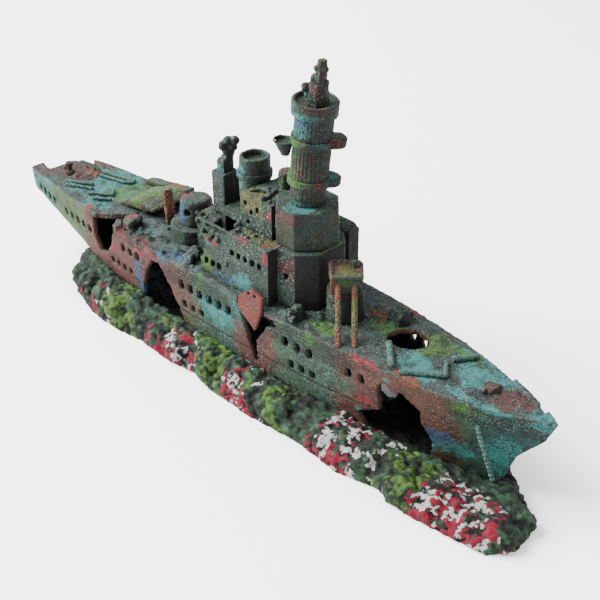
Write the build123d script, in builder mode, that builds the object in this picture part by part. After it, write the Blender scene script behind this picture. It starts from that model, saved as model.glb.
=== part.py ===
"""Bubbling aquarium ornament: a broken cast-resin warship on a hollow reef base, with its air stone.

Millimetres, +X to the bow, +Y to port, +Z up. The origin is on the tank floor, under the middle
of the ornament. A "station" is the distance forward of the transom.
"""

import math
import os

from build123d import *

# Driving dimensions
LENGTH = 334.0  # transom to the reef's forward end
BEAM = 80.0  # reef, side to side
DECK = 45.0  # top of the decks above the tank floor
DECK_THICK = 3.0
SHEER_FROM = 232.0  # station where the deck starts to fall towards the bow
SHEER_SLOPE = 0.025
WALL = 3.0  # cast hull wall
SEAT = 4.0  # rock floor inside the reef that the hull stands on
FIT = 0.2  # glue gap between castings that slide together

# Superstructure levels, bottom to top
HOUSE_TOP = 72.0  # long deckhouse and the plinth in front of it
BASE_TOP = 89.5  # octagonal block under the tower
BASE_HALF = 13.3  # centre to flat of that block
LEAN = 5.5  # degrees the tower leans towards the bow
TOWER = 196.3  # station of the tower's axis at its foot

# Air line, sized for standard 4/6 mm aquarium hose
BORE = 2.5
TUBE_OD = 4.0
HOSE_BORE = 4.0
AIR_HEIGHT = 11.0  # centre line of the feed tube
AIR_SIDE = 11.0  # how far to port of the centre line it runs
HOSE_HOLE = 4.5  # radius of its hole through the aft rock
STONE_AT = 178.0  # station of the stone's aft face
STONE_LONG = 24.0
STONE_RADIUS = 6.5

# Hull waterlines: height, aft station, half-breadth there, then (station, half-breadth) to the stem
WATERLINES = (
    (SEAT, 80, 17.0, ((96, 20.0), (122, 21.6), (185, 22.0), (232, 18.0), (270, 10.0), (307, 0.8))),
    (20, 43, 15.5, ((66, 19.5), (112, 23.2), (182, 24.0), (236, 20.3), (276, 12.4), (313, 0.8))),
    (34, 1.5, 13.6, ((53, 20.2), (112, 24.5), (182, 25.0), (240, 21.8), (286, 14.2), (325, 0.8))),
    (DECK, 0, 14.0, ((53, 21.0), (114, 25.0), (182, 25.5), (240, 22.8), (292, 15.2), (330, 0.8))),
)


def at(station):
    """The X of a station."""
    return station - LENGTH / 2


def write(part, name):
    """Label a finished casting and write its STEP file."""
    part.label = name
    export_step(part, f"parts/{name}.step")


def waterline(height, aft, aft_half, points, inset=0.0):
    """A closed face at one height, both sides of the hull, moved in by inset."""
    stem, stem_half = points[-1]
    side = [(at(aft + inset), aft_half - inset)]
    side += [(at(station), half - inset) for station, half in points[:-1]]
    side.append((at(stem - 3.5 * inset), stem_half))
    with BuildSketch(Plane.XY.offset(height)) as face:
        with BuildLine():
            port = Spline(*side)
            starboard = Spline(*[(x, -y) for x, y in side])
            Line(port @ 0, starboard @ 0)
            Line(port @ 1, starboard @ 1)
        make_face()
    return face.sketch


def hull_solid(inset=0.0):
    """The hull's volume from the seat to deck level, moved in by inset."""
    faces = [waterline(*line, inset=inset) for line in WATERLINES]
    with BuildPart() as volume:
        for low, high in zip(faces, faces[1:]):
            loft([low.face(), high.face()], ruled=True)
    return volume.part


def side_hole(points, y_from, y_to):
    """A cutter: a ragged opening given as (station, height), running from y_from to y_to."""
    with BuildPart() as cutter:
        with BuildSketch(Plane.XZ.offset(-y_to)):
            with BuildLine():
                Polyline(*[(at(station), z) for station, z in points], close=True)
            make_face()
        extrude(amount=y_to - y_from)
    return cutter.part


def window_row(first, pitch, count, height, y_from, y_to, size):
    """A cutter: a row of upright windows through one wall."""
    with BuildPart() as cutter:
        for index in range(count):
            x = at(first + index * pitch)
            with Locations((x, (y_from + y_to) / 2, height)):
                Box(size[0], y_to - y_from, size[1])
    return cutter.part


def deck_height(station):
    """The decks are level as far as SHEER_FROM, then fall gently towards the bow."""
    return DECK - max(0.0, station - SHEER_FROM) * SHEER_SLOPE


def deck_band(low, high):
    """A volume following the deck line, from low to high above it, as wide as the reef."""
    stations = (-2, SHEER_FROM, LENGTH + 2)
    points = [(station, deck_height(station) + high) for station in stations]
    points += [(station, deck_height(station) + low) for station in reversed(stations)]
    return side_hole(points, -BEAM / 2, BEAM / 2)


def block(x_from, x_to, y_from, y_to, z_from, z_to):
    """A plain rectangular volume between the given limits."""
    with BuildPart() as volume:
        with Locations(((x_from + x_to) / 2, (y_from + y_to) / 2, (z_from + z_to) / 2)):
            Box(x_to - x_from, y_to - y_from, z_to - z_from)
    return volume.part


os.makedirs("parts", exist_ok=True)

# ---------------------------------------------------------------- reef base
# Floor outline of the rock, (station, distance from the centre line), starboard then port
REEF_STARBOARD = (
    (44, -20), (60, -31), (82, -38), (102, -39), (120, -36.5), (142, -38), (158, -35.5), (172, -39),
    (201, -40), (228, -37.5), (254, -40), (272, -35.5), (290, -39), (308, -37), (327, -34.5), (334, -24),
)
REEF_PORT = (
    (332, -13), (325, -5), (316, 2), (306, 7), (296, 14), (282, 24), (262, 33), (240, 38.5), (206, 40),
    (178, 36), (150, 39), (126, 37), (100, 39), (78, 36), (56, 30), (42, 17),
)
REEF_MIDDLE = 189.0  # station that the rock's sides draw in towards
REEF_TOP_AFT = 16.5
REEF_TOP_FORE = 9.5


def reef_outline(plane, along, across):
    """The rock's outline on one plane, drawn in towards its middle."""
    points = [
        (at(REEF_MIDDLE + (station - REEF_MIDDLE) * along), y * across)
        for station, y in REEF_STARBOARD + REEF_PORT
    ]
    with BuildSketch(plane) as outline:
        with BuildLine():
            Polyline(*points, close=True)
        make_face()
    return outline.sketch.face()


top_mid = (REEF_TOP_AFT + REEF_TOP_FORE) / 2
top_pitch = math.degrees(math.atan2(REEF_TOP_AFT - REEF_TOP_FORE, LENGTH))
reef_faces = (
    reef_outline(Plane.XY, 1.0, 1.0),
    reef_outline(Plane.XY.offset(6), 0.99, 0.96),
    reef_outline(Plane.XY.offset(top_mid).rotated((0, top_pitch, 0)), 0.93, 0.76),
)
hull_outer = hull_solid()
hull_seat = hull_solid(inset=-FIT)
hull_inner = hull_solid(inset=WALL)
port_cave = side_hole(((212, -1), (240, -1), (237, 7), (229, 10.5), (218, 9)), 12, 45)
with BuildPart() as hose_hole:
    with BuildSketch(Plane.YZ.offset(at(30))):
        with Locations((AIR_SIDE, AIR_HEIGHT)):
            Circle(HOSE_HOLE)
    extrude(amount=60)

with BuildPart() as reef_base:
    for low, high in zip(reef_faces, reef_faces[1:]):
        loft([low, high], ruled=True)
    add(hull_seat, mode=Mode.SUBTRACT)
    add(port_cave, mode=Mode.SUBTRACT)
    add(hose_hole.part, mode=Mode.SUBTRACT)
write(reef_base.part, "reef_base")

# ---------------------------------------------------------------- hull shells
ARCH = 121.0  # station of the joint over the swim-through arch
CRACK = 187.5  # station of the joint at the foot of the V-shaped crack
arch_hole = side_hole(
    ((105, 3), (106.5, 20), (111, 31), (117, 38.5), (122.5, 39), (128, 32), (134, 23), (141.5, 3)), -30, -8
)
stern_hole = side_hole(((67, 46), (65, 30), (69, 23), (75, 25), (81, 32), (84, 40), (85, 46)), -30, -8)
bow_hole = side_hole(
    (
        (244, 15), (248, 8), (260, 3), (277, 3), (279, 14), (275, 23), (276, 30), (268, 36), (264, 34),
        (260, 38), (257, 35), (256, 21), (250, 18),
    ),
    -30, -3,
)
port_hole = side_hole(((212, 3), (240, 3), (238, 15), (229, 21), (217, 18)), 8, 30)
plate_gap = side_hole(
    ((176, 46), (181, 34), (187, 15), (189, 15), (189, 27), (196, 37), (203, 39), (197, 46)),
    -30, -8,
)
WINDOW = (3.2, 4.6)  # width and height of the upper windows
LOWER_WINDOW = (2.9, 4.0)
SMALL_WINDOW = (2.6, 4.2)
WINDOW_ROWS = (  # first station, pitch, how many, height of the middles, size
    (37, 6, 5, 33, (2.8, 4.2)),
    (80, 5.5, 4, 23, (2.6, 3.4)),
    (92.5, 6, 3, 35, WINDOW),
    (139, 6.5, 6, 34.5, WINDOW),
    (140, 6, 3, 24.5, LOWER_WINDOW),
    (207, 7, 3, 34.5, WINDOW),
    (210, 6, 3, 24, LOWER_WINDOW),
    (242, 7, 2, 34.5, WINDOW),
)
STERN_WINDOWS = 4
STERN_ROW_AT, STERN_PITCH = 9.0, 5.0
STERN_ROW_TOP = 36.5
STERN_RISE = 2.2  # how far the window row climbs along the counter

with BuildPart() as shell:
    add(hull_outer)
    add(hull_inner, mode=Mode.SUBTRACT)
    for cutter in (arch_hole, stern_hole, bow_hole, port_hole, plate_gap, hose_hole.part):
        add(cutter, mode=Mode.SUBTRACT)
    for side in (-1, 1):
        outer_y, inner_y = sorted((side * 30, side * 8))
        for first, pitch, count, height, size in WINDOW_ROWS:
            add(window_row(first, pitch, count, height, outer_y, inner_y, size), mode=Mode.SUBTRACT)
        for index in range(STERN_WINDOWS):
            height = STERN_ROW_TOP - index * STERN_RISE / (STERN_WINDOWS - 1)
            station = STERN_ROW_AT + index * STERN_PITCH
            window = window_row(station, STERN_PITCH, 1, height, outer_y, inner_y, SMALL_WINDOW)
            add(window, mode=Mode.SUBTRACT)
    with Locations((at(0), 5, DECK - DECK_THICK)):
        Box(12, 23, 5, mode=Mode.SUBTRACT)
    add(deck_band(-DECK_THICK, 10), mode=Mode.SUBTRACT)


def shell_piece(name, aft, forward, side):
    """One shell casting: the stretch of one hull side between two stations."""
    y_from, y_to = sorted((0, side * BEAM))
    zone = block(at(aft), at(forward), y_from, y_to, 0, DECK)
    with BuildPart() as piece:
        add(shell.part)
        add(zone, mode=Mode.INTERSECT)
    write(piece.part, name)


for side, side_name in ((-1, "starboard"), (1, "port")):
    shell_piece(f"hull_aft_{side_name}", -1, ARCH, side)
    shell_piece(f"hull_mid_{side_name}", ARCH, CRACK, side)
    shell_piece(f"hull_bow_{side_name}", CRACK, LENGTH, side)

# The red shield-shaped plate, torn loose over the crack and standing above the deck edge
PLATE_OUT, PLATE_IN = -25.9, -23.9
with BuildPart() as break_plate:
    add(side_hole(
        ((179, 41), (190, 33), (194, 43), (195, 51), (188, 53), (180, 47)),
        PLATE_OUT, PLATE_IN,
    ))
    for station, height in ((186.5, 50.5), (190.5, 50.5)):
        add(window_row(station, 1, 1, height, PLATE_OUT, PLATE_IN, (1.6, 1.6)), mode=Mode.SUBTRACT)
write(break_plate.part, "hull_break_plate")

# ---------------------------------------------------------------- decks
QUARTER_END = 84.0
FORE_START = 196.0
with BuildPart() as deck_slab:
    add(hull_outer)
    add(deck_band(-DECK_THICK, 0), mode=Mode.INTERSECT)


def deck_zone(points):
    """A cutter: a deck area given as (station, Y), through the full deck."""
    with BuildPart() as zone:
        with BuildSketch(Plane.XY.offset(DECK - 2 * DECK_THICK)):
            with BuildLine():
                Polyline(*[(at(station), y) for station, y in points], close=True)
            make_face()
        extrude(amount=3 * DECK_THICK)
    return zone.part


stern_well = deck_zone(
    ((-2, -6), (9, -8), (22, -10), (33, -6), (36, 3), (31, 11), (19, 13), (11, 20), (-2, 20))
)
quarter_zone = deck_zone(
    ((-2, -30), (68, -30), (70, -21), (76, -17), (81, -11), (QUARTER_END, -2), (QUARTER_END, 30), (-2, 30))
)
with BuildPart() as quarterdeck:
    add(deck_slab.part)
    add(quarter_zone, mode=Mode.INTERSECT)
    add(stern_well, mode=Mode.SUBTRACT)
write(quarterdeck.part, "quarterdeck")

well_zone = block(at(4), at(40), -14, 17, DECK - DECK_THICK - 2, DECK - DECK_THICK)
with BuildPart() as stern_well_floor:
    add(hull_inner)
    add(well_zone, mode=Mode.INTERSECT)
write(stern_well_floor.part, "stern_well_floor")

main_zone = deck_zone(
    ((QUARTER_END, -30), (FORE_START, -30), (FORE_START, 30), (QUARTER_END, 30))
)
with BuildPart() as main_deck:
    add(deck_slab.part)
    add(main_zone, mode=Mode.INTERSECT)
    plate_slot = block(at(178.5), at(195.2), -30, PLATE_IN, DECK - 2 * DECK_THICK, DECK + 1)
    add(plate_slot, mode=Mode.SUBTRACT)
write(main_deck.part, "main_deck")

crater = deck_zone(((243, 1), (247, -3.5), (254, -3), (259, 0), (261, 6), (258, 11), (250, 12), (245, 8)))
fore_zone = deck_zone(((FORE_START, -30), (LENGTH, -30), (LENGTH, 30), (FORE_START, 30)))
with BuildPart() as foredeck:
    add(deck_slab.part)
    add(fore_zone, mode=Mode.INTERSECT)
    add(crater, mode=Mode.SUBTRACT)
write(foredeck.part, "foredeck")

# ---------------------------------------------------------------- things lying on the decks


def lump(name, station, y, radius, height, sides=7):
    """A rough faceted lump of wreckage, narrower at its top."""
    with BuildPart() as piece:
        with BuildSketch(Plane.XY.offset(deck_height(station - radius))):
            with Locations((at(station), y)):
                RegularPolygon(radius, sides)
        extrude(amount=height, taper=18)
    write(piece.part, name)


def bars(name, routes, radius):
    """Broken railing: each route of (station, y) is a run of round bar lying at deck level."""
    with BuildPart() as piece:
        for route in routes:
            points = [Vector(at(station), y, deck_height(station) + radius) for station, y in route]
            for start, end in zip(points, points[1:]):
                run = Plane(origin=start, z_dir=end - start)
                with BuildSketch(run):
                    Circle(radius)
                extrude(amount=(end - start).length)
            for point in points[1:-1]:
                with Locations(point):
                    Sphere(radius)
    write(piece.part, name)


RAIL = 0.9  # radius of the cast railings
STERN_RAILS = (
    ((30, -12), (43, -4)), ((33, -14), (47, -7.5)),
    ((50, -12), (60, -5), (56, -1)), ((56, -14), (64, -8)),
    ((34, 8), (55, 13.5)), ((36, 5), (52, 8.5), (56, 12)),
)
bars("stern_rails", STERN_RAILS, RAIL)
FRAME_RAIL = 1.1
bars("foredeck_frame", (((250, -6), (262, -17.5)), ((266, -17.5), (280, -6), (274, 2))), FRAME_RAIL)
bars("breakwater", (((275, 4.5), (281, 14)),), 1.3)

with BuildPart() as capstan:
    with BuildSketch(Plane.XY.offset(DECK - DECK_THICK)):
        with Locations((at(17), -1)):
            Circle(2.2)
    extrude(amount=2)
    with BuildSketch(Plane.XY.offset(DECK - 1)):
        with Locations((at(17), -1)):
            Circle(1.4)
    extrude(amount=3.5)
    with Locations((at(17), -1, DECK + 3)):
        Cylinder(2.0, 1.6)
write(capstan.part, "capstan")

with BuildPart() as deck_mound:
    with BuildSketch(Plane.XZ.offset(-16)):
        with BuildLine():
            foot = Line((at(68), DECK), (at(74), DECK))
            lip = Line(foot @ 1, (at(96), 49.0))
            edge = Line(lip @ 1, (at(97), 51.0))
            Spline(edge @ 1, (at(87), 53.0), (at(77), 50.5), foot @ 0)
        make_face()
    extrude(amount=23)
write(deck_mound.part, "deck_mound")

with BuildPart() as fallen_beams:
    for y in (17.6, 20.8):
        beam = Plane(origin=(at(60), y, DECK + 1.2), z_dir=(1, 0, 0.16))
        with BuildSketch(beam):
            Rectangle(2.4, 2.4)
        extrude(amount=34)
    split(bisect_by=Plane.XY.offset(DECK), keep=Keep.TOP)
write(fallen_beams.part, "fallen_beams")

slab_plane = Plane(origin=(at(105), -3, DECK), z_dir=(-0.1, 0.02, 1))
with BuildPart() as leaning_slab:
    with BuildSketch(slab_plane.offset(-1)):
        Rectangle(2.4, 5.0)
    extrude(amount=19.5)
    split(bisect_by=Plane.XY.offset(DECK), keep=Keep.TOP)
write(leaning_slab.part, "leaning_slab")

lump("wreckage_aft", 93, -17, 5.5, 5)
lump("wreckage_arch", 140, -18, 5.0, 5)
lump("wreckage_port", 141.5, 18.3, 5.2, 7)
lump("wreckage_bow_house", 209, -18, 4.2, 6)
lump("wreckage_fore", 240, 12, 6.0, 6)
lump("capstan_fore", 298, 1.5, 3.2, 2.2, sides=8)

# ---------------------------------------------------------------- aft gun platform
AFT_TURRET = 121.5
PLATFORM_TOP = 52.5
with BuildPart() as aft_platform:
    with BuildSketch(Plane.XY.offset(DECK)):
        with Locations((at(AFT_TURRET), 0)):
            Circle(12.5)
    extrude(amount=PLATFORM_TOP - DECK)
write(aft_platform.part, "aft_platform")

with BuildPart() as aft_turret:
    with BuildSketch(Plane.XY.offset(PLATFORM_TOP)):
        with Locations((at(AFT_TURRET), 0)):
            Circle(8.2)
    extrude(amount=12.5, taper=3)
    top_edge = aft_turret.faces().sort_by(Axis.Z)[-1].edges()
    fillet(top_edge, 2.5)
    with Locations(Location((at(AFT_TURRET) + 2, -7, PLATFORM_TOP + 7), (90, 0, 0))):
        Cylinder(1.8, 6, mode=Mode.SUBTRACT)
write(aft_turret.part, "aft_turret")

# ---------------------------------------------------------------- deckhouses
AFT_HOUSE_TOP = 66.0
aft_house_inside = block(at(138.5), at(146.2), -9.5, 9.5, DECK - 1, AFT_HOUSE_TOP - 3)
with BuildPart() as aft_deckhouse:
    add(block(at(136), at(148.6), -12, 12, DECK, AFT_HOUSE_TOP))
    add(aft_house_inside, mode=Mode.SUBTRACT)
    with Locations((at(142.5), -12, 57)):
        Box(4, 8, 5, mode=Mode.SUBTRACT)
write(aft_deckhouse.part, "aft_deckhouse")

HOUSE_AFT, HOUSE_FORE, HOUSE_HALF = 149.0, 194.0, 21.0
house_inside = block(at(HOUSE_AFT + 3), at(HOUSE_FORE - 3), -18, 18, DECK - 1, HOUSE_TOP - 3)
ruined_corner = side_hole(
    ((145, 80), (145, 51), (151, 53), (152, 61), (158, 63), (161, 68.5), (168, 69.5), (172, 80)), -30, -8
)
with BuildPart() as deckhouse:
    add(block(at(HOUSE_AFT), at(HOUSE_FORE), -HOUSE_HALF, HOUSE_HALF, DECK, HOUSE_TOP))
    add(house_inside, mode=Mode.SUBTRACT)
    for side in (-1, 1):
        outer_y, inner_y = sorted((side * 25, side * 15))
        add(window_row(170.9, 4.35, 5, 62.3, outer_y, inner_y, (2.3, 3.3)), mode=Mode.SUBTRACT)
        add(window_row(153.2, 4.2, 3, 51.5, outer_y, inner_y, (2.3, 3.3)), mode=Mode.SUBTRACT)
    add(ruined_corner, mode=Mode.SUBTRACT)
write(deckhouse.part, "deckhouse")

PLINTH_FORE = 211.5
with BuildPart() as tower_plinth:
    with BuildSketch(Plane.XY.offset(DECK)):
        with BuildLine():
            Polyline(
                (at(HOUSE_FORE), -16), (at(204), -15), (at(PLINTH_FORE), -7.5),
                (at(PLINTH_FORE), 7.5), (at(204), 15), (at(HOUSE_FORE), 16), close=True,
            )
        make_face()
    extrude(amount=HOUSE_TOP - DECK)
    for side in (-1, 1):
        with Locations((at(199), side * 15, 60)):
            Box(2.2, 4, 3.2, mode=Mode.SUBTRACT)
write(tower_plinth.part, "tower_plinth")

BRIDGE_AFT, BRIDGE_FORE = 168.5, 188.0
bridge_inside = block(at(BRIDGE_AFT + 2.5), at(180), -10.5, 9.5, HOUSE_TOP - 1, 85)
with BuildPart() as bridge_house:
    add(block(at(BRIDGE_AFT), at(BRIDGE_FORE), -13, 12, HOUSE_TOP, 88))
    add(bridge_inside, mode=Mode.SUBTRACT)
    for station, height, width in ((171.5, 84, 1.8), (175, 80.5, 1.5), (179, 83, 2), (173, 75.5, 1.6)):
        with Locations((at(station), -12, height)):
            Box(width, 6, width + 0.6, mode=Mode.SUBTRACT)
    with BuildSketch(Plane.XY.offset(HOUSE_TOP)):
        with Locations((at(TOWER), 0)):
            RegularPolygon(BASE_HALF, 8, major_radius=False, rotation=22.5)
    extrude(amount=BASE_TOP, mode=Mode.SUBTRACT)
write(bridge_house.part, "bridge_house")

PORT_HOUSE_TOP = 71.5
with BuildPart() as port_house:
    with BuildSketch(Plane.YZ.offset(at(194))):
        with BuildLine():
            Polyline(
                (16.2, DECK), (23, DECK), (23, PORT_HOUSE_TOP), (19.6, PORT_HOUSE_TOP + 4.5),
                (16.2, PORT_HOUSE_TOP), close=True,
            )
        make_face()
    extrude(amount=11)
write(port_house.part, "port_house")

# ---------------------------------------------------------------- funnels
with BuildPart() as square_funnel:
    add(block(at(139.5), at(148), -4.8, 4.8, AFT_HOUSE_TOP, 86))
    with BuildSketch(Plane.XY.offset(86)):
        with Locations((at(143.7), 0)):
            Rectangle(5, 6)
    extrude(amount=-6, mode=Mode.SUBTRACT)
write(square_funnel.part, "square_funnel")

with BuildPart() as broken_mast:
    with BuildSketch(Plane.XY.offset(80)):
        with Locations((at(143.7), 0)):
            Rectangle(4.8, 5.8)
    extrude(amount=12)
    mast_top = Plane(origin=(at(144), 0.6, 91), z_dir=(0.32, 0.2, 1))
    with BuildSketch(mast_top):
        RegularPolygon(3.2, 6)
    extrude(amount=11, taper=6)
write(broken_mast.part, "broken_mast")

ROUND_FUNNEL = 161.2
with BuildPart() as round_funnel:
    with BuildSketch(Plane.XY.offset(HOUSE_TOP)):
        with Locations((at(ROUND_FUNNEL), 2)):
            Circle(6.9)
    extrude(amount=26.5)
    with BuildSketch(Plane.XY.offset(98.5)):
        with Locations((at(ROUND_FUNNEL), 2)):
            Circle(5.2)
    extrude(amount=-3, mode=Mode.SUBTRACT)
write(round_funnel.part, "round_funnel")

with BuildPart() as funnel_collar:
    with BuildSketch(Plane.XY.offset(88.5)):
        with Locations((at(ROUND_FUNNEL), 2)):
            Circle(7.9)
            Circle(6.9, mode=Mode.SUBTRACT)
    extrude(amount=3)
write(funnel_collar.part, "funnel_collar")

with BuildPart() as roof_drum:
    with BuildSketch(Plane.XY.offset(88)):
        with Locations((at(178), 6)):
            Circle(4.2)
    extrude(amount=7.5)
    fillet(roof_drum.faces().sort_by(Axis.Z)[-1].edges(), 1.2)
write(roof_drum.part, "roof_drum")

# ---------------------------------------------------------------- fire-control tower
with BuildPart() as tower_base:
    with BuildSketch(Plane.XY.offset(HOUSE_TOP)):
        with Locations((at(TOWER), 0)):
            RegularPolygon(BASE_HALF, 8, major_radius=False, rotation=22.5)
    extrude(amount=BASE_TOP - HOUSE_TOP)
write(tower_base.part, "tower_base")

lean = math.radians(LEAN)
tower_axis = Plane(
    origin=(at(TOWER), 0, BASE_TOP),
    x_dir=(math.cos(lean), 0, -math.sin(lean)),
    z_dir=(math.sin(lean), 0, math.cos(lean)),
)
# Each storey of the tower: name, foot and head along the leaning axis, radius
LOWER_HEAD, GALLERY_HEAD = 9.0, 12.5
MID_HEAD, UPPER_GALLERY_HEAD = 27.0, 30.5
UPPER_HEAD, CAP_HEAD = 40.5, 46.5


def storey(name, foot, head, radius, lugs=()):
    """One round storey of the leaning tower; lugs are (x, y, radius) of side tubs at its level."""
    with BuildPart() as piece:
        with BuildSketch(tower_axis.offset(foot)):
            Circle(radius)
            for x, y, lug in lugs:
                with Locations((x, y)):
                    Circle(lug)
        extrude(amount=head - foot)
        split(bisect_by=Plane.XY.offset(BASE_TOP), keep=Keep.TOP)
    write(piece.part, name)


storey("tower_lower_drum", -2.0, LOWER_HEAD, 7.7)
storey("tower_lower_gallery", LOWER_HEAD, GALLERY_HEAD, 9.2, ((6.0, 6.2, 4.6),))
storey("tower_middle_drum", GALLERY_HEAD, MID_HEAD, 8.2)
storey("tower_upper_gallery", MID_HEAD, UPPER_GALLERY_HEAD, 9.2, ((6.6, 6.8, 4.6),))
storey("tower_upper_drum", UPPER_GALLERY_HEAD, UPPER_HEAD, 8.2)

with BuildPart() as tower_cap:
    with BuildSketch(tower_axis.offset(UPPER_HEAD)):
        Circle(9.8)
    extrude(amount=CAP_HEAD - UPPER_HEAD)
    with BuildSketch(tower_axis.offset(CAP_HEAD)):
        Circle(8.2)
    extrude(amount=-1.6, mode=Mode.SUBTRACT)
write(tower_cap.part, "tower_cap")

with BuildPart() as tower_side_tub:
    with BuildSketch(tower_axis.offset(20)):
        with Locations((-8.5, -6.5)):
            Circle(1.6)
    with BuildSketch(tower_axis.offset(27)):
        with Locations((-9.3, -7.4)):
            Circle(4.6)
    loft()
    with BuildSketch(tower_axis.offset(MID_HEAD)):
        Circle(8.25)
    extrude(amount=-12, mode=Mode.SUBTRACT)
    with BuildSketch(tower_axis.offset(MID_HEAD)):
        with Locations((-9.6, -7.6)):
            Circle(3.3)
    extrude(amount=-1.6, mode=Mode.SUBTRACT)
write(tower_side_tub.part, "tower_side_tub")

DIRECTOR_FOOT = CAP_HEAD - 1.6
with BuildPart() as broken_director:
    with BuildSketch(tower_axis.offset(DIRECTOR_FOOT)):
        with Locations((0.6, 0.4)):
            RegularPolygon(5.2, 7)
    extrude(amount=9, taper=8)
write(broken_director.part, "broken_director")

with BuildPart() as spire:
    with BuildSketch(tower_axis.offset(DIRECTOR_FOOT + 9)):
        with Locations((1.0, 1.0)):
            RegularPolygon(2.9, 6)
    extrude(amount=9.5, taper=5)
write(spire.part, "spire")

# ---------------------------------------------------------------- fore turret, trained to starboard
TRAIN = -45.0  # degrees from the bow towards starboard
DROOP = -48.0  # degrees the broken barrels hang below level
TURRET_AT = (222.0, -2.5)
TURRET_FLOOR = 59.5
TURRET_SIZE = (14.0, 13.4, 8.0)
BARREL_GAP = 6.8
BARREL_RADIUS = 1.3

with BuildPart() as fore_barbette:
    with BuildSketch(Plane.XY.offset(DECK)):
        with Locations((at(TURRET_AT[0]), TURRET_AT[1])):
            Circle(8.0)
    extrude(amount=TURRET_FLOOR - DECK)
write(fore_barbette.part, "fore_barbette")

turret_plane = Plane(origin=(at(TURRET_AT[0]), TURRET_AT[1], TURRET_FLOOR)).rotated((0, 0, TRAIN))
with BuildPart() as fore_turret:
    with BuildSketch(turret_plane):
        Rectangle(TURRET_SIZE[0], TURRET_SIZE[1])
    extrude(amount=TURRET_SIZE[2])
    chamfer(fore_turret.faces().sort_by(Axis.Z)[-1].edges(), 1.0)
write(fore_turret.part, "fore_turret")

train = math.radians(TRAIN)
droop = math.radians(DROOP)
facing = Vector(math.cos(train), math.sin(train), 0)
barrel_dir = Vector(math.cos(train) * math.cos(droop), math.sin(train) * math.cos(droop), math.sin(droop))
turret_centre = Vector(at(TURRET_AT[0]), TURRET_AT[1], TURRET_FLOOR)
across = Vector(-facing.Y, facing.X, 0)
gun_port = turret_centre + facing * (TURRET_SIZE[0] / 2) + Vector(0, 0, 3.5)
with BuildPart() as gun_barrels:
    for offset_side in (-0.5, 0.5):
        root = gun_port + across * (BARREL_GAP * offset_side) - barrel_dir * 3
        with BuildSketch(Plane(origin=root, z_dir=barrel_dir)):
            Circle(BARREL_RADIUS)
        extrude(amount=30)
    split(bisect_by=Plane.XY.offset(DECK), keep=Keep.TOP)
    split(bisect_by=Plane(origin=gun_port, z_dir=facing), keep=Keep.TOP)
write(gun_barrels.part, "gun_barrels")

ROOF = TURRET_FLOOR + TURRET_SIZE[2]
with BuildPart() as turret_sight:
    with BuildSketch(Plane.XY.offset(ROOF)):
        with Locations(tuple(turret_centre - facing * 3 + across * 3.6)[:2]):
            Circle(2.0)
    extrude(amount=2.4, taper=10)
write(turret_sight.part, "turret_sight")

# ---------------------------------------------------------------- bulwarks and anchor chain
BULWARK_THICK = 1.3
BULWARK_HIGH = 1.4
BULWARK_AFT = 300.0
with BuildPart() as bow_bulwark:
    extrude(waterline(*WATERLINES[-1]).face(), amount=BULWARK_HIGH, both=True)
    extrude(
        waterline(*WATERLINES[-1], inset=BULWARK_THICK).face(),
        amount=2 * BULWARK_HIGH, both=True, mode=Mode.SUBTRACT,
    )
    add(deck_band(0, BULWARK_HIGH), mode=Mode.INTERSECT)
    add(block(at(BULWARK_AFT), at(LENGTH), -BEAM, BEAM, 0, 2 * DECK), mode=Mode.INTERSECT)
    add(block(at(317), at(321.5), 0, BEAM, DECK - 2, DECK + 5), mode=Mode.SUBTRACT)
write(bow_bulwark.part, "bow_bulwark")

CHAIN_TOP = Vector(at(302.3), -12.2, 34.5)
CHAIN_FOOT = Vector(at(309), -8.8, 11.5)
LINK = 0.85
link_count = int((CHAIN_FOOT - CHAIN_TOP).length / (LINK * 2.1))
with BuildPart() as anchor_chain:
    for index in range(link_count):
        with Locations(CHAIN_TOP + (CHAIN_FOOT - CHAIN_TOP) * (index / (link_count - 1))):
            Sphere(LINK)
write(anchor_chain.part, "anchor_chain")

# ---------------------------------------------------------------- air line inside the hull
INLET = 47.0  # station of the inlet barb's shoulder
GROMMET_LONG = 8.0
SADDLE_AT = 164.0


def along_x(name, runs, bore=0.0):
    """A turned piece on the air line's axis: runs of (from station, to station, radius)."""
    first, last = runs[0][0], runs[-1][1]
    with BuildPart() as piece:
        for start, end, radius in runs:
            with BuildSketch(Plane.YZ.offset(at(start))):
                with Locations((AIR_SIDE, AIR_HEIGHT)):
                    Circle(radius)
            extrude(amount=end - start)
        if bore:
            with BuildSketch(Plane.YZ.offset(at(first))):
                with Locations((AIR_SIDE, AIR_HEIGHT)):
                    Circle(bore)
            extrude(amount=last - first, mode=Mode.SUBTRACT)
    write(piece.part, name)


SPIGOT_LONG = 9.0
SPIGOT_RADIUS = HOSE_BORE / 2 + 0.15  # the hose stretches over it
SHOULDER = 1.5
NIPPLE_RADIUS = BORE / 2 - 0.1
tube_radius = TUBE_OD / 2
shoulder_end = INLET + SHOULDER
tube_end = STONE_AT - 2.0
flange_at = tube_end + 0.3
along_x(
    "inlet_spigot",
    [(INLET - SPIGOT_LONG, INLET, SPIGOT_RADIUS), (INLET, shoulder_end, HOSE_HOLE - 0.3)],
    bore=BORE / 2,
)
along_x("inlet_grommet", [(shoulder_end, shoulder_end + GROMMET_LONG, HOSE_HOLE)], bore=tube_radius)
along_x("feed_tube", [(shoulder_end, tube_end, tube_radius)], bore=BORE / 2)
along_x(
    "stone_nipple",
    [(STONE_AT - 10, flange_at, NIPPLE_RADIUS), (flange_at, STONE_AT, 3.2)],
    bore=0.6,
)
along_x("air_stone", [(STONE_AT, STONE_AT + STONE_LONG, STONE_RADIUS)])

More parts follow.
